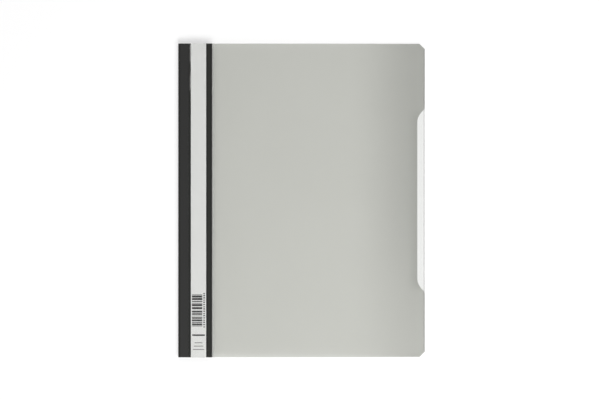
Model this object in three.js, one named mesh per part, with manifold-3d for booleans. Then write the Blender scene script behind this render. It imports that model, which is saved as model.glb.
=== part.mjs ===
// Fastener folder, lying closed on its back cover: a grey back film and a clear front film, welded to
// the two leaves of a soft dark spine band, with a paper label strip in the pocket between the clear
// film and the band. A metal prong strip is held under the band's back leaf. Its prongs come up
// through the leaf and a cover bar, are folded flat over the bar and held by two sliding keepers.
// Millimetres, +Z up, +Y towards the head of the folder, spine fold at -X. The origin is at the middle
// of the footprint, on the surface that the folder lies on.
import * as THREE from "three";
import { mergeVertices } from "three/addons/utils/BufferGeometryUtils.js";
import Module from "manifold-3d";

const wasm = await Module();
wasm.setup();

// Covers
const coverWidth = 244;
const coverHeight = 310;
const backFilmThickness = 0.3;
const clearFilmThickness = 0.3;
const cornerCut = 5.3; // along each edge, for the free corners, which are cut off at 45 degrees
const cornerCutRadius = 1.5; // at both ends of the cut
const filmStart = 10.2; // from the fold to the left edge of both films
const filmFlatEnd = 36; // the clear film is level up to here, then curves down
const restingGap = 0.35; // between the two films at the free edge
const sagPower = 2.5; // how late the clear film bends down
const sagSteps = 14;

// Grip notch in the free edge of the back film
const notchMouth = 182;
const notchDepth = 7.4;
const notchRampRun = 8; // along the edge, for each slanted end
const notchInnerRadius = 8;
const notchOuterRadius = 2.5;

// Spine band
const bandWidth = 33.5;
const bandThickness = 0.35;
const sheetSpace = 4.45; // free height between the two leaves
const foldGap = 0.3; // between the two halves of the fold, where the cover turns
const foldSteps = 8;

// Weld beads that join the films to the band
const weldWidth = 0.9;
const frontWelds = [11, 28.7, 31.9];
const backWelds = [11, 31.9];
const weldRoot = 0.1; // how far a bead runs into its film

// Label strip and its print
const labelStart = 12.7;
const labelWidth = 15;
const labelThickness = 0.15;
const labelHeadOverhang = 0.4;
const labelFootOverhang = 0.8;
const printThickness = 0.1;
const pocketClearance = 0.05;
const printMargin = 1; // from the label's left edge to the bars
const printFoot = 31.4; // from the label's foot to the lowest bar
const barLength = 10.2;
const barPitch = 2.04;
const barSpineWidth = 0.25;
const barWidths = [0.5, 1.3, 1.0, 0.6, 1.4, 0.5, 1.1, 0.7, 1.5, 0.6, 1.6, 1.0, 0.5, 1.3, 0.8, 1.1, 0.5];

// Fastener
const prongSpacing = 80;
const fastenerFromFold = 20;
const prongWidth = 4.5;
const metalThickness = 0.3;
const prongBaseWidth = 8;
const prongBaseMargin = 6; // of the base past each prong
const prongTipFromMiddle = 12;
const prongTipRadius = 2.2;
const prongBendRadius = 0.45;
const slotClearance = 0.3;
const barFootWidth = 8;
const barFootHeight = 0.8;
const barFlangeWidth = 12;
const barFlangeThickness = 0.6;
const barEndMargin = 10; // of the flange past each prong
const barFootInset = 2; // of the foot inside the flange's ends

// Keepers that slide along the cover bar over the folded prongs
const keeperLength = 9;
const keeperFromMiddle = 24;
const keeperClearance = 0.2;
const keeperWall = 0.6;
const keeperTopThickness = 0.5;
const keeperLipThickness = 0.4;
const keeperLipReach = 1.5;
const keeperRibHeight = 0.35;
const keeperRibWidth = 0.7;
const keeperRibPitch = 1.8;
const keeperRibCount = 4;

// Levels, from the surface up
const overcut = 1; // how far a cutting block runs past what it cuts
const mergeDistance = 1e-4;
const foldX = -coverWidth / 2;
const freeX = coverWidth / 2;
const halfHeight = coverHeight / 2;
const backLeafBottom = backFilmThickness + metalThickness;
const backLeafTop = backLeafBottom + bandThickness;
const frontLeafBottom = backLeafTop + sheetSpace;
const frontLeafTop = frontLeafBottom + bandThickness;
const labelTop = frontLeafTop + labelThickness;
const clearFilmBottom = labelTop + printThickness + pocketClearance;
const barFlangeBottom = backLeafTop + barFootHeight;
const barTop = barFlangeBottom + barFlangeThickness;
const prongTop = barTop + metalThickness;
const foldMiddle = (backLeafBottom + frontLeafTop) / 2;
const foldRadius = (frontLeafTop - backLeafBottom) / 2;
const fastenerX = foldX + fastenerFromFold;

function solidOf(geometry) {
  const bare = geometry.clone();
  bare.deleteAttribute("normal");
  bare.deleteAttribute("uv");
  const merged = mergeVertices(bare, mergeDistance);
  const triVerts = new Uint32Array(merged.index.array);
  const vertProperties = new Float32Array(merged.attributes.position.array);
  return new wasm.Manifold(new wasm.Mesh({ numProp: 3, vertProperties, triVerts }));
}

function geometryOf(solid) {
  const mesh = solid.getMesh();
  const geometry = new THREE.BufferGeometry();
  geometry.setAttribute("position", new THREE.BufferAttribute(mesh.vertProperties, 3));
  geometry.setIndex(new THREE.BufferAttribute(mesh.triVerts, 1));
  geometry.computeVertexNormals();
  return geometry;
}

function join(geometries) {
  return geometries.map(solidOf).reduce((whole, piece) => whole.add(piece));
}

function boxBetween(low, high) {
  const size = high.map((value, i) => value - low[i]);
  const middle = high.map((value, i) => (value + low[i]) / 2);
  return new THREE.BoxGeometry(...size).translate(...middle);
}

// A closed outline whose corners, given as [x, y, radius], are rounded by tangent arcs.
function roundedOutline(corners) {
  const shape = new THREE.Shape();
  corners.forEach(([x, y, radius = 0], i) => {
    const corner = new THREE.Vector2(x, y);
    if (radius === 0) {
      if (i === 0) shape.moveTo(x, y);
      else shape.lineTo(x, y);
      return;
    }
    const [beforeX, beforeY] = corners[(i + corners.length - 1) % corners.length];
    const [afterX, afterY] = corners[(i + 1) % corners.length];
    const back = new THREE.Vector2(beforeX, beforeY).sub(corner).normalize();
    const ahead = new THREE.Vector2(afterX, afterY).sub(corner).normalize();
    const halfAngle = Math.acos(THREE.MathUtils.clamp(back.dot(ahead), -1, 1)) / 2;
    const start = corner.clone().addScaledVector(back, radius / Math.tan(halfAngle));
    const toCentre = back.clone().add(ahead).normalize();
    const centre = corner.clone().addScaledVector(toCentre, radius / Math.sin(halfAngle));
    const end = corner.clone().addScaledVector(ahead, radius / Math.tan(halfAngle));
    if (i === 0) shape.moveTo(start.x, start.y);
    else shape.lineTo(start.x, start.y);
    const turnsLeft = back.x * ahead.y - back.y * ahead.x < 0;
    shape.absarc(
      centre.x,
      centre.y,
      radius,
      Math.atan2(start.y - centre.y, start.x - centre.x),
      Math.atan2(end.y - centre.y, end.x - centre.x),
      !turnsLeft,
    );
  });
  shape.closePath();
  return shape;
}

// A plan outline in X and Y, raised from one level to another.
function plate(shape, bottom, top, curveSegments = 6) {
  const settings = { depth: top - bottom, bevelEnabled: false, curveSegments };
  return new THREE.ExtrudeGeometry(shape, settings).translate(0, 0, bottom);
}

// A section in X and Z, run along Y between two ends.
function runAlongY(shape, low, high, curveSegments = 6) {
  const settings = { depth: high - low, bevelEnabled: false, curveSegments };
  return new THREE.ExtrudeGeometry(shape, settings).rotateX(Math.PI / 2).translate(0, high, 0);
}

// A section in Y and Z, run along X between two ends.
function runAlongX(shape, low, high, curveSegments = 4) {
  const settings = { depth: high - low, bevelEnabled: false, curveSegments };
  return new THREE.ExtrudeGeometry(shape, settings)
    .rotateZ(Math.PI / 2)
    .rotateY(Math.PI / 2)
    .translate(low, 0, 0);
}

// A bar with half-round ends that lies along Y.
function stadium(middleX, width, halfLength) {
  const reach = halfLength - width / 2;
  const shape = new THREE.Shape();
  shape.moveTo(middleX + width / 2, -reach);
  shape.lineTo(middleX + width / 2, reach);
  shape.absarc(middleX, reach, width / 2, 0, Math.PI, false);
  shape.lineTo(middleX - width / 2, -reach);
  shape.absarc(middleX, -reach, width / 2, Math.PI, 2 * Math.PI, false);
  shape.closePath();
  return shape;
}

function weldBead(fromFold, bottom, top) {
  const middle = foldX + fromFold;
  return boxBetween(
    [middle - weldWidth / 2, -halfHeight, bottom],
    [middle + weldWidth / 2, halfHeight, top],
  );
}

function makeBackCover() {
  const mouth = notchMouth / 2;
  const outline = roundedOutline([
    [foldX + filmStart, -halfHeight],
    [freeX - cornerCut, -halfHeight, cornerCutRadius],
    [freeX, cornerCut - halfHeight, cornerCutRadius],
    [freeX, -mouth, notchOuterRadius],
    [freeX - notchDepth, -mouth + notchRampRun, notchInnerRadius],
    [freeX - notchDepth, mouth - notchRampRun, notchInnerRadius],
    [freeX, mouth, notchOuterRadius],
    [freeX, halfHeight - cornerCut, cornerCutRadius],
    [freeX - cornerCut, halfHeight, cornerCutRadius],
    [foldX + filmStart, halfHeight],
  ]);
  const film = plate(outline, 0, backFilmThickness);
  const beads = backWelds.map((place) =>
    weldBead(place, backFilmThickness - weldRoot, backLeafBottom),
  );
  return join([film, ...beads]);
}

// Height of the clear film's underside: level over the band, then bending down to the free edge.
function clearFilmLevel(fromFold) {
  const share = Math.max(0, (fromFold - filmFlatEnd) / (coverWidth - filmFlatEnd));
  const lowest = backFilmThickness + restingGap;
  return lowest + (clearFilmBottom - lowest) * (1 - share ** sagPower);
}

function makeFrontCover() {
  const places = [filmStart];
  for (let step = 0; step <= sagSteps; step += 1) {
    places.push(filmFlatEnd + ((coverWidth - filmFlatEnd) * step) / sagSteps);
  }
  const under = places.map((place) => [foldX + place, clearFilmLevel(place)]);
  const over = under.map(([x, z]) => [x, z + clearFilmThickness]).reverse();
  const film = solidOf(runAlongY(roundedOutline([...under, ...over]), -halfHeight, halfHeight));
  const outline = roundedOutline([
    [foldX, -halfHeight],
    [freeX - cornerCut, -halfHeight, cornerCutRadius],
    [freeX, cornerCut - halfHeight, cornerCutRadius],
    [freeX, halfHeight - cornerCut, cornerCutRadius],
    [freeX - cornerCut, halfHeight, cornerCutRadius],
    [foldX, halfHeight],
  ]);
  const trimmed = film.intersect(solidOf(plate(outline, 0, clearFilmBottom + overcut)));
  const beads = frontWelds.map((place) =>
    weldBead(place, frontLeafTop, clearFilmBottom + weldRoot),
  );
  return trimmed.add(join(beads));
}

// One leaf of the spine band with its quarter of the round fold. The back leaf is the lower one.
function makeBandLeaf(isBack) {
  const side = isBack ? -1 : 1;
  const inner = foldRadius - bandThickness;
  const gapAngle = Math.asin(foldGap / 2 / inner);
  const outside = [];
  const inside = [];
  for (let step = 0; step <= foldSteps; step += 1) {
    const angle = gapAngle + ((Math.PI / 2 - gapAngle) * step) / foldSteps;
    const across = -Math.cos(angle);
    const up = side * Math.sin(angle);
    outside.push([foldX + foldRadius + foldRadius * across, foldMiddle + foldRadius * up]);
    inside.unshift([foldX + foldRadius + inner * across, foldMiddle + inner * up]);
  }
  const end = foldX + bandWidth;
  const section = [
    ...outside,
    [end, foldMiddle + side * foldRadius],
    [end, foldMiddle + side * inner],
    ...inside,
  ];
  return solidOf(runAlongY(roundedOutline(section), -halfHeight, halfHeight));
}

// The two slots that a piece of the fastener stack has for the prongs.
function prongSlots(bottom, top) {
  const halfAcross = prongWidth / 2 + slotClearance;
  const halfAlong = metalThickness / 2 + slotClearance;
  return join(
    [-1, 1].map((side) =>
      boxBetween(
        [fastenerX - halfAcross, (side * prongSpacing) / 2 - halfAlong, bottom],
        [fastenerX + halfAcross, (side * prongSpacing) / 2 + halfAlong, top],
      ),
    ),
  );
}

function makeLabelStrip() {
  return solidOf(
    boxBetween(
      [foldX + labelStart, -halfHeight - labelFootOverhang, frontLeafTop],
      [foldX + labelStart + labelWidth, halfHeight + labelHeadOverhang, labelTop],
    ),
  );
}

// A stack of printed bars of mixed widths, joined by a hairline along their left ends.
function makeLabelPrint() {
  const left = foldX + labelStart + printMargin;
  const foot = -halfHeight - labelFootOverhang + printFoot;
  const printTop = labelTop + printThickness;
  const bars = barWidths.map((width, i) => {
    const start = foot + i * barPitch;
    return boxBetween([left, start, labelTop], [left + barLength, start + width, printTop]);
  });
  const head = foot + (barWidths.length - 1) * barPitch + barWidths[barWidths.length - 1];
  const hairline = boxBetween([left, foot, labelTop], [left + barSpineWidth, head, printTop]);
  return join([hairline, ...bars]);
}

// The flat base, and at each end a prong that rises through the stack and is folded flat, inwards.
function makeProngStrip() {
  const baseHalf = prongSpacing / 2 + prongBaseMargin;
  const pieces = [plate(stadium(fastenerX, prongBaseWidth, baseHalf), backFilmThickness, backLeafBottom)];
  const outerY = prongSpacing / 2 + metalThickness / 2;
  const innerY = outerY - metalThickness;
  const tongueStart = innerY - prongBendRadius;
  const innerBend = prongBendRadius - metalThickness;
  for (const side of [-1, 1]) {
    const bend = roundedOutline([
      [side * outerY, backFilmThickness],
      [side * outerY, prongTop, prongBendRadius],
      [side * tongueStart, prongTop],
      [side * tongueStart, barTop],
      [side * innerY, barTop, innerBend],
      [side * innerY, backFilmThickness],
    ]);
    pieces.push(runAlongX(bend, fastenerX - prongWidth / 2, fastenerX + prongWidth / 2));
    const tongue = roundedOutline([
      [fastenerX - prongWidth / 2, side * (tongueStart + metalThickness)],
      [fastenerX - prongWidth / 2, side * prongTipFromMiddle, prongTipRadius],
      [fastenerX + prongWidth / 2, side * prongTipFromMiddle, prongTipRadius],
      [fastenerX + prongWidth / 2, side * (tongueStart + metalThickness)],
    ]);
    pieces.push(plate(tongue, barTop, prongTop));
  }
  return join(pieces);
}

function makeCoverBar() {
  const halfLength = prongSpacing / 2 + barEndMargin;
  const flange = plate(stadium(fastenerX, barFlangeWidth, halfLength), barFlangeBottom, barTop);
  const foot = plate(
    stadium(fastenerX, barFootWidth, halfLength - barFootInset),
    backLeafTop,
    barFlangeBottom,
  );
  return join([foot, flange]).subtract(prongSlots(backLeafTop - overcut, barTop + overcut));
}

// A clip that wraps the bar's flange and the folded prong, with grip ribs across its top.
function makeKeeper(side) {
  const inside = barFlangeWidth / 2 + keeperClearance;
  const outside = inside + keeperWall;
  const ceiling = prongTop + keeperClearance;
  const top = ceiling + keeperTopThickness;
  const lipTop = barFlangeBottom - keeperClearance;
  const lipBottom = lipTop - keeperLipThickness;
  const lipEnd = inside - keeperLipReach;
  const section = roundedOutline([
    [fastenerX - lipEnd, lipBottom],
    [fastenerX - lipEnd, lipTop],
    [fastenerX - inside, lipTop],
    [fastenerX - inside, ceiling],
    [fastenerX + inside, ceiling],
    [fastenerX + inside, lipTop],
    [fastenerX + lipEnd, lipTop],
    [fastenerX + lipEnd, lipBottom],
    [fastenerX + outside, lipBottom],
    [fastenerX + outside, top, keeperTopThickness],
    [fastenerX - outside, top, keeperTopThickness],
    [fastenerX - outside, lipBottom],
  ]);
  const middle = side * keeperFromMiddle;
  const clip = runAlongY(section, middle - keeperLength / 2, middle + keeperLength / 2);
  const ribs = [];
  for (let i = 0; i < keeperRibCount; i += 1) {
    const ribMiddle = middle + (i - (keeperRibCount - 1) / 2) * keeperRibPitch;
    ribs.push(
      boxBetween(
        [fastenerX - inside, ribMiddle - keeperRibWidth / 2, top - keeperTopThickness / 2],
        [fastenerX + inside, ribMiddle + keeperRibWidth / 2, top + keeperRibHeight],
      ),
    );
  }
  return join([clip, ...ribs]);
}

const greyFilm = { color: 0xc4c5be, roughness: 0.35, metalness: 0 };
const clearFilm = { color: 0xeeefec, roughness: 0.12, metalness: 0, transparent: true, opacity: 0.2 };
const darkBand = { color: 0x373737, roughness: 0.5, metalness: 0 };
const paper = { color: 0xe3e3df, roughness: 0.8, metalness: 0 };
const ink = { color: 0x2b2b29, roughness: 0.7, metalness: 0 };
const steel = { color: 0xb9bbbd, roughness: 0.3, metalness: 1 };
const blackPlastic = { color: 0x222222, roughness: 0.4, metalness: 0 };

const folder = new THREE.Group();

function addPiece(name, solid, finish) {
  const piece = new THREE.Mesh(geometryOf(solid), new THREE.MeshStandardMaterial(finish));
  piece.name = name;
  folder.add(piece);
}

addPiece("back_cover", makeBackCover(), greyFilm);
addPiece("spine_band_back", makeBandLeaf(true).subtract(prongSlots(0, backLeafTop + overcut)), darkBand);
addPiece("spine_band_front", makeBandLeaf(false), darkBand);
addPiece("front_cover", makeFrontCover(), clearFilm);
addPiece("label_strip", makeLabelStrip(), paper);
addPiece("label_print", makeLabelPrint(), ink);
addPiece("prong_strip", makeProngStrip(), steel);
addPiece("cover_bar", makeCoverBar(), blackPlastic);
addPiece("keeper_upper", makeKeeper(1), blackPlastic);
addPiece("keeper_lower", makeKeeper(-1), blackPlastic);

export default folder;
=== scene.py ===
# fastener folder, lying closed, seen from straight above
# metres, in the frame's own axes: +X from the spine fold to the free edge, +Y to the head, +Z up
import bpy
import math
import numpy as np
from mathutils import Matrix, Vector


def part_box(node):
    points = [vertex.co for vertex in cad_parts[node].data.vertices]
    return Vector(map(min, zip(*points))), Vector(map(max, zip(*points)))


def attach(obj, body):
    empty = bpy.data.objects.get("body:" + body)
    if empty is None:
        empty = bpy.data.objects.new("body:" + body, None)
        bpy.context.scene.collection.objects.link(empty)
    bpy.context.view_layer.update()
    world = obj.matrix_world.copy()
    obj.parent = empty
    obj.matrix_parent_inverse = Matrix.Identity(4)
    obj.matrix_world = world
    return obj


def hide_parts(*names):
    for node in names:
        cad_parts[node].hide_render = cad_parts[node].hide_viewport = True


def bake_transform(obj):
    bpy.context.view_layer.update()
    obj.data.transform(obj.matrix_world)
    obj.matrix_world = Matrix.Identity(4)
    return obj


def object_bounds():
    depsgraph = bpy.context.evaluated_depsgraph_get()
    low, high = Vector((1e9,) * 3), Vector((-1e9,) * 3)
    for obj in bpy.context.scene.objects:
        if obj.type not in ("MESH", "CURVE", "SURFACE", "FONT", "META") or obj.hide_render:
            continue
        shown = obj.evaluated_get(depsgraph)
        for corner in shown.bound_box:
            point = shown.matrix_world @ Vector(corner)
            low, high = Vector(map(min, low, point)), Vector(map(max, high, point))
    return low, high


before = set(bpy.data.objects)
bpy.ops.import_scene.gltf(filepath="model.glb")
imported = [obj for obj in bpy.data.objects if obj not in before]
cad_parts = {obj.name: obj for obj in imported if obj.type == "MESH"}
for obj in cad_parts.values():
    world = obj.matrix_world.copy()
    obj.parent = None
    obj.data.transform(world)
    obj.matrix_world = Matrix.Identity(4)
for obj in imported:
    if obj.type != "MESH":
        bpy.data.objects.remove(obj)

cadBounds = [[float(v) for v in corner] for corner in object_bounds()]
mm = 0.001
sharpAngle = math.radians(40)
bevelAngle = math.radians(50)


class Wire:
    # wraps a socket, so that maths on values can be written as Python expressions
    def __init__(self, tree, socket=None):
        self.tree = tree
        self.socket = socket

    def node(self, kind, settings=None, inputs=None, out=0):
        made = self.tree.nodes.new("ShaderNode" + kind)
        for name, value in (settings or {}).items():
            setattr(made, name, value)
        for name, value in (inputs or {}).items():
            if isinstance(value, Wire):
                self.tree.links.new(value.socket, made.inputs[name])
            else:
                made.inputs[name].default_value = value
        return Wire(self.tree, made.outputs[out])

    def maths(self, operation, *values, clamp=False):
        return self.node("Math", {"operation": operation, "use_clamp": clamp}, dict(enumerate(values)))

    def __add__(self, other):
        return self.maths("ADD", self, other)

    def __sub__(self, other):
        return self.maths("SUBTRACT", self, other)

    def __rsub__(self, other):
        return self.maths("SUBTRACT", other, self)

    def __mul__(self, other):
        return self.maths("MULTIPLY", self, other)

    def __abs__(self):
        return self.maths("ABSOLUTE", self)

    __radd__ = __add__
    __rmul__ = __mul__


def newMaterial(name):
    material = bpy.data.materials.new(name)
    material.use_nodes = True
    material.node_tree.nodes.clear()
    return material, Wire(material.node_tree)


def finishMaterial(material, shader):
    output = material.node_tree.nodes.new("ShaderNodeOutputMaterial")
    material.node_tree.links.new(shader.socket, output.inputs["Surface"])
    return material


def place(wire, stretch=(1, 1, 1)):
    return wire.node("Mapping", None, {"Vector": wire.node("TexCoord", out=3), "Scale": stretch})


def grain(wire, scale, stretch=(1, 1, 1), detail=3.0, roughness=0.5):
    sockets = {"Vector": place(wire, stretch), "Scale": scale, "Detail": detail, "Roughness": roughness}
    return wire.node("TexNoise", None, sockets)


def mixColour(wire, share, first, second):
    return wire.node("Mix", {"data_type": "RGBA"}, {0: share, 6: first, 7: second}, out=2)


def bumpOf(wire, height, distance, strength=1.0):
    return wire.node("Bump", None, {"Height": height, "Distance": distance, "Strength": strength})


def axis(wire, number):
    # the piece's own X, Y or Z, for number 0, 1 or 2
    return wire.node("SeparateXYZ", None, {0: place(wire)}, out=number)


def step(wire, value, start, end, low=0.0, high=1.0, smooth=True):
    # low before start, high after end, and rising or falling between them
    kind = "SMOOTHSTEP" if smooth else "LINEAR"
    sockets = {"Value": value, "From Min": start, "From Max": end, "To Min": low, "To Max": high}
    return wire.node("MapRange", {"interpolation_type": kind}, sockets)


def bell(wire, value, middle, width):
    # 1 where value is middle, falling to 0 at a distance of width
    return wire.maths("SUBTRACT", 1.0, abs(value - middle) * (1 / width), clamp=True)


# levels and places, taken from the solids
backLow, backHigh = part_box("back_cover")
filmLow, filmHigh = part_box("front_cover")
leafLow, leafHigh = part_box("spine_band_back")
topLeafLow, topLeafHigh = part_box("spine_band_front")
labelLow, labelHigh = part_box("label_strip")
printLow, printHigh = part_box("label_print")
foldX = cadBounds[0][0]
freeX = float(filmHigh[0])
halfHeight = float(filmHigh[1])
print("frame read: width", round(freeX - foldX, 4), "height", round(2 * halfHeight, 4))


def thickSheet(name, outer, inner, rimSlot=0):
    # two surfaces over one grid of places, shape (across, along, 3), joined round their rim by quads
    across, along = outer.shape[:2]
    count = across * along
    points = np.concatenate([outer.reshape(-1, 3), inner.reshape(-1, 3)])
    index = np.arange(count).reshape(across, along)
    a, b, c, d = index[:-1, :-1], index[1:, :-1], index[1:, 1:], index[:-1, 1:]
    outerFaces = np.stack([a, b, c, d], -1).reshape(-1, 4)
    innerFaces = outerFaces[:, ::-1] + count
    loop = np.concatenate([index[:, 0], index[-1, 1:], index[-2::-1, -1], index[0, -2:0:-1]])
    ahead = np.roll(loop, -1)
    rimFaces = np.stack([loop, loop + count, ahead + count, ahead], -1)
    faces = np.concatenate([outerFaces, innerFaces, rimFaces])
    mesh = bpy.data.meshes.new(name)
    mesh.from_pydata(points.tolist(), [], faces.tolist())
    slots = np.zeros(len(faces), np.int32)
    slots[2 * len(outerFaces):] = rimSlot
    mesh.polygons.foreach_set("material_index", slots)
    mesh.polygons.foreach_set("use_smooth", np.ones(len(faces), bool))
    mesh.set_sharp_from_angle(angle=sharpAngle)
    mesh.update()
    piece = bpy.data.objects.new(name, mesh)
    bpy.context.scene.collection.objects.link(piece)
    return piece


def softenRims(piece, width):
    bevel = piece.modifiers.new("softRims", "BEVEL")
    bevel.width = width
    bevel.segments = 2
    bevel.limit_method = "ANGLE"
    bevel.angle_limit = bevelAngle
    return piece


def smoothLow(first, second, blend):
    # the lower of two values, with a round join as wide as blend
    share = np.clip(0.5 + 0.5 * (second - first) / blend, 0, 1)
    return second * (1 - share) + first * share - blend * share * (1 - share)


def smoothHigh(first, second, blend):
    # the higher of two values, with the same round join
    return -smoothLow(-first, -second, blend)


freeEdge = {
    "cornerCut": 5.3 * mm,
    "cutRadius": 1.5 * mm,
    "notchMouth": 182 * mm,
    "notchDepth": 7.4 * mm,
    "notchRamp": 8 * mm,
    "innerBlend": 5 * mm,
    "outerBlend": 1.6 * mm,
    "cutMargin": 0.5 * mm,
    "pastCut": 1 * mm,
    "pastMouth": 3 * mm,
    "plainRows": 120,
    "notchRows": 48,
    "leastStep": 0.002 * mm,
}


def edgeRows(low, high, notched):
    # places along the height: close together at the corners and at the notch's ends
    cut, margin = freeEdge["cornerCut"], freeEdge["cutMargin"]
    past = cut + freeEdge["pastCut"]
    steps = np.concatenate([
        np.linspace(0, margin, 7),
        np.linspace(margin, cut - margin, 6),
        np.linspace(cut - margin, past, 12),
    ])
    rows = [low + steps, high - steps, np.linspace(low + past, high - past, freeEdge["plainRows"])]
    if notched:
        mouth = freeEdge["notchMouth"] / 2
        nearest, furthest = mouth - 2 * freeEdge["notchRamp"], mouth + freeEdge["pastMouth"]
        for side in (-1, 1):
            rows.append(side * np.linspace(nearest, furthest, freeEdge["notchRows"]))
    rows = np.unique(np.round(np.concatenate(rows), 7))
    return rows[np.concatenate([[True], np.diff(rows) > freeEdge["leastStep"]])]


def edgeAt(rows, low, high, right, notched):
    # the free edge's place at each row: straight, cut at 45 degrees at the corners with a small arc at
    # both ends of each cut, and drawn in at the notch
    cut, radius = freeEdge["cornerCut"], freeEdge["cutRadius"]
    tangent = radius * math.tan(math.pi / 8)
    depth = np.minimum(rows - low, high - rows)
    edge = right - np.maximum(cut - depth, 0)
    outerArc = right - cut - tangent + np.sqrt(np.maximum(radius ** 2 - (radius - depth) ** 2, 0))
    edge = np.where(depth < tangent * math.sin(math.pi / 4), outerArc, edge)
    innerArc = right - radius + np.sqrt(np.maximum(radius ** 2 - (cut + tangent - depth) ** 2, 0))
    besideArc = (depth > cut - tangent * math.sin(math.pi / 4)) & (depth < cut + tangent)
    edge = np.where(besideArc, innerArc, edge)
    if notched:
        deepest = freeEdge["notchDepth"]
        inside = freeEdge["notchMouth"] / 2 - np.abs(rows)
        drawnIn = smoothHigh(inside * deepest / freeEdge["notchRamp"], 0 * rows, freeEdge["outerBlend"])
        edge = edge - smoothLow(drawnIn, deepest + 0 * rows, freeEdge["innerBlend"])
    return edge


def plainCover(name, low, high, columns, notched, levelAt, thickness, rimSlot=0):
    # columns are shares from the left edge to the free edge; levelAt gives the underside's height
    rows = edgeRows(low[1], high[1], notched)
    edge = edgeAt(rows, low[1], high[1], high[0], notched)
    x = low[0] + columns[:, None] * (edge - low[0])[None, :]
    y = np.broadcast_to(rows, x.shape)
    z = levelAt(x, y)
    return thickSheet(name, np.stack([x, y, z + thickness], -1), np.stack([x, y, z], -1), rimSlot=rimSlot)


# grey back cover
backCover = {
    "thickness": 0.3 * mm,
    "tint": (0.706, 0.708, 0.675),
    "shade": (0.686, 0.688, 0.655),
    # painted shade toward the free edge, as a share of the tint, less at the foot
    "paintedEdgeShade": 0.74,
    "closeStart": 45 * mm,
    "closeEnd": 118 * mm,
    "footRange": (-150 * mm, 0),
    "footShares": (0.6, 1.0),
    # painted shade along the grip notch, as a share of the tint
    "paintedNotchShade": 0.68,
    "rimStart": 103.5 * mm,
    "rimEnd": 114.5 * mm,
    "rimReach": (80 * mm, 93 * mm),
    "innerStart": 0.1 * mm,
    "innerEnd": 0.2 * mm,
    "cloudScale": 14,
    "fineScale": 2600,
    "roughness": 0.34,
    "roughnessSpread": 0.08,
    "bumpHeight": 0.02 * mm,
    "bumpStrength": 0.35,
    "columns": 60,
    "rimSoftness": 0.06 * mm,
}


def makeGreyFilm():
    material, wire = newMaterial("greyFilm")
    clouds = grain(wire, backCover["cloudScale"], detail=2.0)
    plain = mixColour(wire, clouds, (*backCover["shade"], 1), (*backCover["tint"], 1))
    across, along, height = [axis(wire, number) for number in range(3)]
    start, end = backLow[2] + backCover["innerStart"], backLow[2] + backCover["innerEnd"]
    inside = step(wire, height, start, end, smooth=False)
    # painted shade toward the free edge, on the inner face only and less so at the foot
    close = step(wire, across, backCover["closeStart"], backCover["closeEnd"])
    headward = step(wire, along, *backCover["footRange"], *backCover["footShares"])
    paintedEdgeShadeTint = tuple(backCover["paintedEdgeShade"] * v for v in backCover["tint"])
    shaded = mixColour(wire, close * headward * inside, plain, (*paintedEdgeShadeTint, 1))
    # and painted shade once more along the grip notch
    toRim = step(wire, across, backCover["rimStart"], backCover["rimEnd"])
    besideNotch = step(wire, abs(along), *backCover["rimReach"], 1.0, 0.0)
    paintedNotchShadeTint = tuple(backCover["paintedNotchShade"] * v for v in backCover["tint"])
    fine = grain(wire, backCover["fineScale"], detail=2.0)
    shader = wire.node("BsdfPrincipled", None, {
        "Base Color": mixColour(wire, toRim * besideNotch * inside, shaded, (*paintedNotchShadeTint, 1)),
        "Roughness": clouds * backCover["roughnessSpread"] + backCover["roughness"],
        "Normal": bumpOf(wire, fine, backCover["bumpHeight"], backCover["bumpStrength"]),
    })
    return finishMaterial(material, shader)


greyFilm = makeGreyFilm()
greyCover = plainCover(
    "grey_back_cover", backLow, backHigh, np.linspace(0, 1, backCover["columns"]), True,
    lambda x, y: 0 * x + backLow[2], backCover["thickness"],
)
greyCover.data.materials.append(greyFilm)
softenRims(greyCover, backCover["rimSoftness"])
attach(greyCover, "back_cover")
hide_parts("back_cover")
print("back cover made")

# spine band: one strip folded round the spine
spineBand = {
    "thickness": 0.35 * mm,
    "tint": (0.0138, 0.0138, 0.013),
    "weldTint": (0.005, 0.005, 0.005),
    "oliveTint": (0.018, 0.0185, 0.013),
    "oliveMiddle": 30.3 * mm,
    "oliveWidth": 1.6 * mm,
    "shadeShare": 0.88,
    "welds": (11.0 * mm, 28.7 * mm, 31.9 * mm),
    "weldWidth": 0.5 * mm,
    "weldDepth": 0.06 * mm,
    "weldLine": 0.65 * mm,
    "cloudScale": 30,
    "fineScale": 1500,
    "roughness": 0.42,
    "roughnessSpread": 0.2,
    "bumpHeight": 0.05 * mm,
    "bumpStrength": 0.5,
    "rows": 90,
    "leafSteps": 140,
    "foldSteps": 40,
    "rimSoftness": 0.08 * mm,
}


def makeDarkBand():
    material, wire = newMaterial("darkBand")
    fine = grain(wire, spineBand["fineScale"], detail=4.0, roughness=0.6)
    clouds = grain(wire, spineBand["cloudScale"], stretch=(1, 0.25, 1), detail=2.0)
    across = axis(wire, 0)
    lines = [bell(wire, across, foldX + weld, spineBand["weldLine"]) for weld in spineBand["welds"]]
    welds = wire.maths("MAXIMUM", wire.maths("MAXIMUM", lines[0], lines[1]), lines[2])
    shade = tuple(spineBand["shadeShare"] * v for v in spineBand["tint"])
    plain = mixColour(wire, clouds, (*shade, 1), (*spineBand["tint"], 1))
    between = bell(wire, across, foldX + spineBand["oliveMiddle"], spineBand["oliveWidth"])
    body = mixColour(wire, between, plain, (*spineBand["oliveTint"], 1))
    shader = wire.node("BsdfPrincipled", None, {
        "Base Color": mixColour(wire, welds, body, (*spineBand["weldTint"], 1)),
        "Roughness": fine * spineBand["roughnessSpread"] + spineBand["roughness"],
        "Normal": bumpOf(wire, fine, spineBand["bumpHeight"], spineBand["bumpStrength"]),
    })
    return finishMaterial(material, shader)


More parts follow.
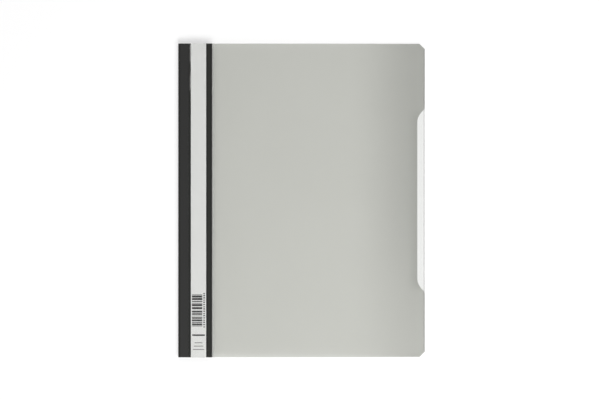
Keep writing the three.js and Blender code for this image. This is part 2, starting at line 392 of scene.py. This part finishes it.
def bandPath():
    # down the back leaf, round the half circle of the fold and up the front leaf, as the strip's middle
    # line and its outward direction
    half = spineBand["thickness"] / 2
    low, high = leafLow[2] + half, topLeafHigh[2] - half
    radius = (high - low) / 2
    right = float(topLeafHigh[0])
    start = foldX + radius + half
    flat = start + (right - start) * np.linspace(0, 1, spineBand["leafSteps"])
    turn = np.linspace(0, math.pi, spineBand["foldSteps"])[1:-1]
    x = np.concatenate([flat[::-1], start - radius * np.sin(turn), flat])
    z = np.concatenate([flat * 0 + low, low + radius - radius * np.cos(turn), flat * 0 + high])
    outX = np.concatenate([flat * 0, -np.sin(turn), flat * 0])
    outZ = np.concatenate([flat * 0 - 1, -np.cos(turn), flat * 0 + 1])
    return x, z, outX, outZ


def makeSpineBand():
    x, z, outX, outZ = bandPath()
    half = spineBand["thickness"] / 2
    rows = np.linspace(-halfHeight, halfHeight, spineBand["rows"])
    # the welds are pressed into the level top of the front leaf only, each as a bell curve across
    dip = sum(np.exp(-(((x - foldX - weld) / spineBand["weldWidth"]) ** 2)) for weld in spineBand["welds"])
    dip = np.minimum(dip, 1) * spineBand["weldDepth"] * (outZ == 1)
    outer = np.empty((len(x), len(rows), 3))
    inner = np.empty_like(outer)
    for grid, shift in ((outer, half - dip), (inner, 0 * dip - half)):
        grid[..., 0] = (x + outX * shift)[:, None]
        grid[..., 1] = rows[None, :]
        grid[..., 2] = (z + outZ * shift)[:, None]
    return thickSheet("spine_band", outer, inner)


darkBand = makeDarkBand()
band = makeSpineBand()
band.data.materials.append(darkBand)
softenRims(band, spineBand["rimSoftness"])
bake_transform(band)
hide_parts("spine_band_back", "spine_band_front")
print("spine band made")

# clear front cover
clearCover = {
    "thickness": 0.3 * mm,
    "flatEnd": 36 * mm,
    "sagPower": 2.5,
    "reflects": 0.04,
    "tint": (0.955, 0.957, 0.952),
    "haze": 0.0025,
    # a milky strip painted at the free edge for the light that the cut edge gathers
    "paintedEdgeLightHaze": 0.2,
    "edgeWidth": 1.1 * mm,
    # crease whitening, also a painted highlight that lifts the shade beside the band
    "creaseHazeAndHighlight": 0.42,
    "creaseWidth": 1.1 * mm,
    "creaseMiddle": 34.5 * mm,
    # a painted glint, patchy, along the pocket's weld toward the head
    "paintedGlintHaze": 0.5,
    "glintWidth": 0.9 * mm,
    "glintMiddle": 12.4 * mm,
    "glintRange": (30 * mm, 80 * mm),
    "glintPatches": (0.5, 0.62),
    "glintScale": 42,
    "scratchScale": 60,
    "scratchHaze": 0.002,
    "milkTint": (0.55, 0.55, 0.54),
    "edgeInset": 0.4 * mm,
    "roughness": 0.07,
    "roughnessSpread": 0.04,
    "crease": 35.2 * mm,
    "creaseSpread": 0.6 * mm,
    "creaseDepth": 0.05 * mm,
    "beadHeight": 0.3 * mm,
    "restingGap": 0.35 * mm,
    "bandShare": 0.12,
    "bandColumns": 90,
    "sheetColumns": 110,
}
filmRim = {
    "clearTint": (0.95, 0.95, 0.94),
    "tint": (0.72, 0.72, 0.7),
    "shade": (0.6, 0.6, 0.58),
    "milkShare": 0.6,
    "grainScale": 900,
    "roughness": 0.3,
}
# the film's underside at the band and at the free edge
clearCover["underTop"] = float(filmHigh[2]) - clearCover["thickness"]
clearCover["underFree"] = float(backHigh[2]) - clearCover["beadHeight"] + clearCover["restingGap"]


def clearLevel(x, y):
    # level over the band, a faint crease beside it, then bending down by a power of the share across
    fromFold = x - foldX
    flatEnd = clearCover["flatEnd"]
    share = np.maximum(0, (fromFold - flatEnd) / (freeX - foldX - flatEnd))
    drop = clearCover["underTop"] - clearCover["underFree"]
    crease = np.exp(-(((fromFold - clearCover["crease"]) / clearCover["creaseSpread"]) ** 2))
    level = clearCover["underFree"] + drop * (1 - share ** clearCover["sagPower"])
    return level - crease * clearCover["creaseDepth"]


def makeClearFilm():
    material, wire = newMaterial("clearFilm")
    scratches = grain(wire, clearCover["scratchScale"], stretch=(1, 14, 1), detail=4.0, roughness=0.7)
    gloss = wire.node("BsdfGlossy", None, {
        "Color": (1, 1, 1, 1),
        "Roughness": scratches * clearCover["roughnessSpread"] + clearCover["roughness"],
    })
    clear = wire.node("BsdfTransparent", None, {"Color": (*clearCover["tint"], 1)})
    milk = wire.node("BsdfDiffuse", None, {"Color": (*clearCover["milkTint"], 1)})
    # the cut free edge is a little milky: painted light that the cut edge gathers
    across = axis(wire, 0)
    atEdge = bell(wire, across, freeX - clearCover["edgeInset"], clearCover["edgeWidth"])
    # bending whitens the film beside the band, and this milky strip is also a painted highlight that lifts
    # the shade there
    atCrease = bell(wire, across, foldX + clearCover["creaseMiddle"], clearCover["creaseWidth"])
    # a painted glint, patchy, along the pocket's weld toward the head
    streaks = grain(wire, clearCover["glintScale"], stretch=(0.01, 1, 1), detail=3.0)
    patchy = step(wire, streaks, *clearCover["glintPatches"], smooth=False)
    headward = step(wire, axis(wire, 1), *clearCover["glintRange"], smooth=False)
    weldLine = bell(wire, across, foldX + clearCover["glintMiddle"], clearCover["glintWidth"])
    marks = atEdge * clearCover["paintedEdgeLightHaze"] + atCrease * clearCover["creaseHazeAndHighlight"]
    marks = marks + weldLine * patchy * headward * clearCover["paintedGlintHaze"]
    share = scratches * clearCover["scratchHaze"] + clearCover["haze"] + marks
    body = wire.node("MixShader", None, {0: share, 1: clear, 2: milk})
    facing = wire.node("LayerWeight", None, {"Blend": 0.5}, out=1)
    # head-on reflection, rising to all of the light at a grazing angle by the fifth power
    edge = wire.maths("POWER", facing, 5.0) * (1 - clearCover["reflects"]) + clearCover["reflects"]
    return finishMaterial(material, wire.node("MixShader", None, {0: edge, 1: body, 2: gloss}))


def makeFilmRim():
    # a cut edge gathers light and looks milky
    material, wire = newMaterial("filmRim")
    speckle = grain(wire, filmRim["grainScale"])
    clear = wire.node("BsdfTransparent", None, {"Color": (*filmRim["clearTint"], 1)})
    milk = wire.node("BsdfPrincipled", None, {
        "Base Color": mixColour(wire, speckle, (*filmRim["shade"], 1), (*filmRim["tint"], 1)),
        "Roughness": filmRim["roughness"],
    })
    shader = wire.node("MixShader", None, {0: filmRim["milkShare"], 1: clear, 2: milk})
    return finishMaterial(material, shader)


filmColumns = np.unique(np.concatenate([
    np.linspace(0, clearCover["bandShare"], clearCover["bandColumns"]),
    np.linspace(clearCover["bandShare"], 1, clearCover["sheetColumns"]),
]))
clearFilm = makeClearFilm()
clearSheet = plainCover(
    "clear_front_cover", filmLow, filmHigh, filmColumns, False,
    clearLevel, clearCover["thickness"], rimSlot=1,
)
clearSheet.data.materials.append(clearFilm)
clearSheet.data.materials.append(makeFilmRim())
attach(clearSheet, "front_cover")
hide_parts("front_cover")
print("clear front cover made")

# label strip of paper
label = {
    "tint": (0.88, 0.88, 0.875),
    "shade": (0.85, 0.85, 0.845),
    # painted highlight along both long edges
    "edgeHighlightTint": (0.93, 0.93, 0.925),
    "edgeWidth": 1.6 * mm,
    "fibreScale": 700,
    "cloudScale": 45,
    "roughness": 0.85,
    "bumpHeight": 0.03 * mm,
    "bumpStrength": 0.4,
    "rows": 160,
    "columns": 24,
}


def makePaper():
    material, wire = newMaterial("labelPaper")
    fibres = grain(wire, label["fibreScale"], stretch=(1, 0.35, 1), detail=5.0, roughness=0.65)
    clouds = grain(wire, label["cloudScale"], detail=2.0)
    plain = mixColour(wire, fibres * 0.5 + clouds * 0.5, (*label["shade"], 1), (*label["tint"], 1))
    across = axis(wire, 0)
    # painted highlight along both long edges
    left = bell(wire, across, float(labelLow[0]), label["edgeWidth"])
    right = bell(wire, across, float(labelHigh[0]), label["edgeWidth"])
    colour = mixColour(wire, wire.maths("MAXIMUM", left, right), plain, (*label["edgeHighlightTint"], 1))
    shader = wire.node("BsdfPrincipled", None, {
        "Base Color": colour,
        "Roughness": label["roughness"],
        "Normal": bumpOf(wire, fibres, label["bumpHeight"], label["bumpStrength"]),
    })
    return finishMaterial(material, shader)


def makeLabel():
    # a flat sheet on the band, level in both directions
    rows = np.linspace(labelLow[1], labelHigh[1], label["rows"])
    columns = np.linspace(labelLow[0], labelHigh[0], label["columns"])
    x, y = np.meshgrid(columns, rows, indexing="ij")
    z = labelLow[2] + 0 * x
    thickness = labelHigh[2] - labelLow[2]
    return thickSheet("label_paper", np.stack([x, y, z + thickness], -1), np.stack([x, y, z], -1))


paper = makePaper()
labelPaper = makeLabel()
labelPaper.data.materials.append(paper)
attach(labelPaper, "front_cover")
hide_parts("label_strip")

# print on the label: a block of bars that encodes nothing, ticks beside it and plain rules below
printing = {
    "thickness": 0.03 * mm,
    "seed": 11,
    "module": 0.5 * mm,
    "barModules": (1, 1, 2, 3, 4),
    "gapModules": (1, 1, 2, 3),
    "tickLength": 1.3 * mm,
    "tickShares": (0.75, 0.875, 1.0),
    "tickWidth": 1.5 * mm,
    "tickPitch": 2.2 * mm,
    "tickGap": 1.1 * mm,
    "tickLead": 1 * mm,
    "ruleFoot": 8.2 * mm,
    "ruleSpread": 3.3 * mm,
    "ruleHalves": (5.6 * mm, 4.6 * mm, 3.8 * mm),
    "ruleWidth": 0.8 * mm,
    "strokeFoot": 22.0 * mm,
    "strokeHalf": 6.2 * mm,
    "strokeWidth": 1.5 * mm,
    "black": (0.02, 0.02, 0.02),
    "blackPaperShare": 0.06,
    "grey": (0.22, 0.22, 0.21),
    "greyPaperShare": 0.12,
    "speckleScale": 1400,
    "roughness": 0.6,
}


def blocks(name, boxes):
    # closed boxes from rows of low x, low y, high x, high y, all of one thickness
    boxes = np.asarray(boxes, float)
    low = float(labelHigh[2])
    ring = np.array([[0, 0], [1, 0], [1, 1], [0, 1]])
    corners = np.concatenate([np.column_stack([ring, np.full(4, level)]) for level in (0, 1)])
    sides = np.array([[0, 3, 2, 1], [4, 5, 6, 7], [0, 1, 5, 4], [1, 2, 6, 5], [2, 3, 7, 6], [3, 0, 4, 7]])
    lows = np.column_stack([boxes[:, 0], boxes[:, 1], np.full(len(boxes), low)])
    highs = np.column_stack([boxes[:, 2], boxes[:, 3], np.full(len(boxes), low + printing["thickness"])])
    points = lows[:, None, :] + corners[None] * (highs - lows)[:, None, :]
    faces = sides[None] + 8 * np.arange(len(boxes))[:, None, None]
    mesh = bpy.data.meshes.new(name)
    mesh.from_pydata(points.reshape(-1, 3).tolist(), [], faces.reshape(-1, 4).tolist())
    mesh.update()
    piece = bpy.data.objects.new(name, mesh)
    bpy.context.scene.collection.objects.link(piece)
    return piece


def barBoxes():
    picks = np.random.default_rng(printing["seed"])
    module = printing["module"]
    boxes, along = [], float(printLow[1])
    while along < printHigh[1] - module:
        width = module * picks.choice(printing["barModules"])
        boxes.append([printLow[0], along, printHigh[0], min(along + width, printHigh[1])])
        along += width + module * picks.choice(printing["gapModules"])
    return boxes


def tickBoxes():
    left = printHigh[0] + printing["tickGap"]
    lead, shares = printing["tickLead"], printing["tickShares"]
    starts = np.arange(printLow[1] - lead, printHigh[1] - lead, printing["tickPitch"])
    boxes = []
    for number, start in enumerate(starts):
        length = printing["tickLength"] * shares[number % len(shares)]
        boxes.append([left, start, left + printing["tickWidth"], start + length])
    return boxes


def ruleBoxes():
    middle = (labelLow[0] + labelHigh[0]) / 2
    foot = labelLow[1] + printing["ruleFoot"]
    boxes = []
    for number, half in enumerate(printing["ruleHalves"]):
        start = foot + printing["ruleSpread"] * number
        boxes.append([middle - half, start, middle + half, start + printing["ruleWidth"]])
    return boxes


def strokeBox():
    # one plain dark stroke between the bars and the rules
    middle = (labelLow[0] + labelHigh[0]) / 2
    start = labelLow[1] + printing["strokeFoot"]
    half = printing["strokeHalf"]
    return [[middle - half, start, middle + half, start + printing["strokeWidth"]]]


def makeInk(name, tint, paperShare):
    material, wire = newMaterial(name)
    speckle = grain(wire, printing["speckleScale"], detail=3.0)
    light = [t + (1 - t) * paperShare for t in tint]
    shader = wire.node("BsdfPrincipled", None, {
        "Base Color": mixColour(wire, speckle, (*tint, 1), (*light, 1)),
        "Roughness": printing["roughness"],
    })
    return finishMaterial(material, shader)


blackInk = makeInk("blackInk", printing["black"], printing["blackPaperShare"])
greyInk = makeInk("greyInk", printing["grey"], printing["greyPaperShare"])
labelPrint = blocks("label_bars", barBoxes())
labelPrint.data.materials.append(blackInk)
labelTicks = blocks("label_ticks", tickBoxes())
labelTicks.data.materials.append(blackInk)
labelStroke = blocks("label_stroke", strokeBox())
labelStroke.data.materials.append(blackInk)
labelRules = blocks("label_rules", ruleBoxes())
labelRules.data.materials.append(greyInk)
for piece in (labelPrint, labelTicks, labelRules, labelStroke):
    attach(piece, "front_cover")
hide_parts("label_print")
print("label made")

# the fastener: solids kept, with their own finishes
metal = {
    "tint": (0.46, 0.47, 0.48),
    "shade": (0.34, 0.35, 0.36),
    "lineScale": 900,
    "roughness": 0.38,
    "roughnessSpread": 0.25,
    "bumpHeight": 0.03 * mm,
    "bumpStrength": 0.4,
}
plastic = {
    "tint": (0.022, 0.022, 0.022),
    "shade": (0.014, 0.014, 0.015),
    "sparkScale": 3200,
    "roughness": 0.34,
    "roughnessSpread": 0.2,
    "bumpHeight": 0.04 * mm,
    "bumpStrength": 0.6,
}


def makeMetal():
    material, wire = newMaterial("rolledMetal")
    lines = grain(wire, metal["lineScale"], stretch=(1, 0.04, 1), detail=4.0)
    shader = wire.node("BsdfPrincipled", None, {
        "Base Color": mixColour(wire, lines, (*metal["shade"], 1), (*metal["tint"], 1)),
        "Metallic": 1.0,
        "Roughness": lines * metal["roughnessSpread"] + metal["roughness"],
        "Normal": bumpOf(wire, lines, metal["bumpHeight"], metal["bumpStrength"]),
    })
    return finishMaterial(material, shader)


def makeBlackPlastic():
    material, wire = newMaterial("mouldedPlastic")
    sparks = grain(wire, plastic["sparkScale"], detail=4.0, roughness=0.7)
    shader = wire.node("BsdfPrincipled", None, {
        "Base Color": mixColour(wire, sparks, (*plastic["shade"], 1), (*plastic["tint"], 1)),
        "Roughness": sparks * plastic["roughnessSpread"] + plastic["roughness"],
        "Normal": bumpOf(wire, sparks, plastic["bumpHeight"], plastic["bumpStrength"]),
    })
    return finishMaterial(material, shader)


rolledMetal = makeMetal()
mouldedPlastic = makeBlackPlastic()
for node, material in (
    ("prong_strip", rolledMetal), ("cover_bar", mouldedPlastic),
    ("keeper_upper", mouldedPlastic), ("keeper_lower", mouldedPlastic),
):
    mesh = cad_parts[node].data
    mesh.materials.clear()
    mesh.materials.append(material)
print("fastener finished")

# floor, light and camera
studio = {
    "floorSize": 6.0,
    "floorDrop": 0.05 * mm,
    "floorShade": 0.5,
    "floorGlow": 0.53,
    "cameraHeight": 2.0,
    "mmPerPixel": 0.9904,
    "imageWidth": 600,
    "imageHeight": 400,
    "centreX": 301.6,
    "centreY": 200.4,
    "sensorWidth": 36,
    "farthest": 50,
    "sky": 0.105,
    "cap": 0.03,
    "capStart": 0.86,
    "capEnd": 0.97,
    "lampSize": 0.8,
    "lamps": {
        "rightLamp": {"place": (1.2, -0.9, 1.5), "power": 19.0},
        "headLamp": {"place": (0.1, 1.4, 1.5), "power": 13.4},
        "footLamp": {"place": (0.1, -1.5, 1.35), "power": 25.4},
        "leftLamp": {"place": (-1.0, -0.2, 1.65), "power": 2.6},
    },
}


def makeFloor():
    size = studio["floorSize"]
    mesh = bpy.data.meshes.new("floor")
    corners = [(-size, -size), (size, -size), (size, size), (-size, size)]
    mesh.from_pydata([(x, y, -studio["floorDrop"]) for x, y in corners], [], [(0, 1, 2, 3)])
    floor = bpy.data.objects.new("floor", mesh)
    bpy.context.scene.collection.objects.link(floor)
    material, wire = newMaterial("floor")
    diffuse = wire.node("BsdfDiffuse", None, {"Color": (*[studio["floorShade"]] * 3, 1)})
    glow = wire.node("Emission", None, {"Color": (1, 1, 1, 1), "Strength": studio["floorGlow"]})
    both = wire.node("AddShader", None, {0: diffuse, 1: glow})
    # the glow is only for what the camera sees, straight on, mirrored or through the film
    seen = wire.node("LightPath")
    for name in ("Is Glossy Ray", "Is Transmission Ray"):
        seen = wire.maths("MAXIMUM", seen, wire.node("LightPath", out=name))
    shader = wire.node("MixShader", None, {0: seen, 1: diffuse, 2: both})
    mesh.materials.append(finishMaterial(material, shader))


def makeSky():
    # an even tent of light with a dark patch straight above, where the camera stands
    world = bpy.data.worlds.new("sky")
    world.use_nodes = True
    world.node_tree.nodes.clear()
    wire = Wire(world.node_tree)
    height = wire.node("SeparateXYZ", None, {0: wire.node("TexCoord")}, out=2)
    patch = step(wire, height, studio["capStart"], studio["capEnd"], studio["sky"], studio["cap"])
    background = wire.node("Background", None, {"Color": (1, 1, 1, 1), "Strength": patch})
    output = world.node_tree.nodes.new("ShaderNodeOutputWorld")
    world.node_tree.links.new(background.socket, output.inputs["Surface"])
    bpy.context.scene.world = world


def makeLamps():
    # steep lamps at the right, head and foot and a weak one at the left, each turned to the folder, so
    # that the raised front leaf throws its shadow under the band
    for name, lampValues in studio["lamps"].items():
        data = bpy.data.lights.new(name, "AREA")
        data.shape = "SQUARE"
        data.size = studio["lampSize"]
        data.energy = lampValues["power"]
        lamp = bpy.data.objects.new(name, data)
        lamp.location = lampValues["place"]
        x, y, z = lampValues["place"]
        lamp.rotation_euler = (math.atan2(math.hypot(x, y), z), 0, math.atan2(y, x) + math.pi / 2)
        bpy.context.scene.collection.objects.link(lamp)


def makeCamera():
    data = bpy.data.cameras.new("camera")
    pixel = studio["mmPerPixel"] * mm
    data.sensor_width = studio["sensorWidth"]
    data.lens = studio["cameraHeight"] / pixel * data.sensor_width / studio["imageWidth"]
    data.clip_end = studio["farthest"]
    camera = bpy.data.objects.new("camera", data)
    camera.location = (
        (studio["imageWidth"] / 2 - studio["centreX"]) * pixel,
        (studio["centreY"] - studio["imageHeight"] / 2) * pixel,
        studio["cameraHeight"],
    )
    bpy.context.scene.collection.objects.link(camera)
    bpy.context.scene.camera = camera


makeFloor()
makeSky()
makeLamps()
makeCamera()
bpy.context.scene.view_settings.view_transform = "Standard"
print("studio made")
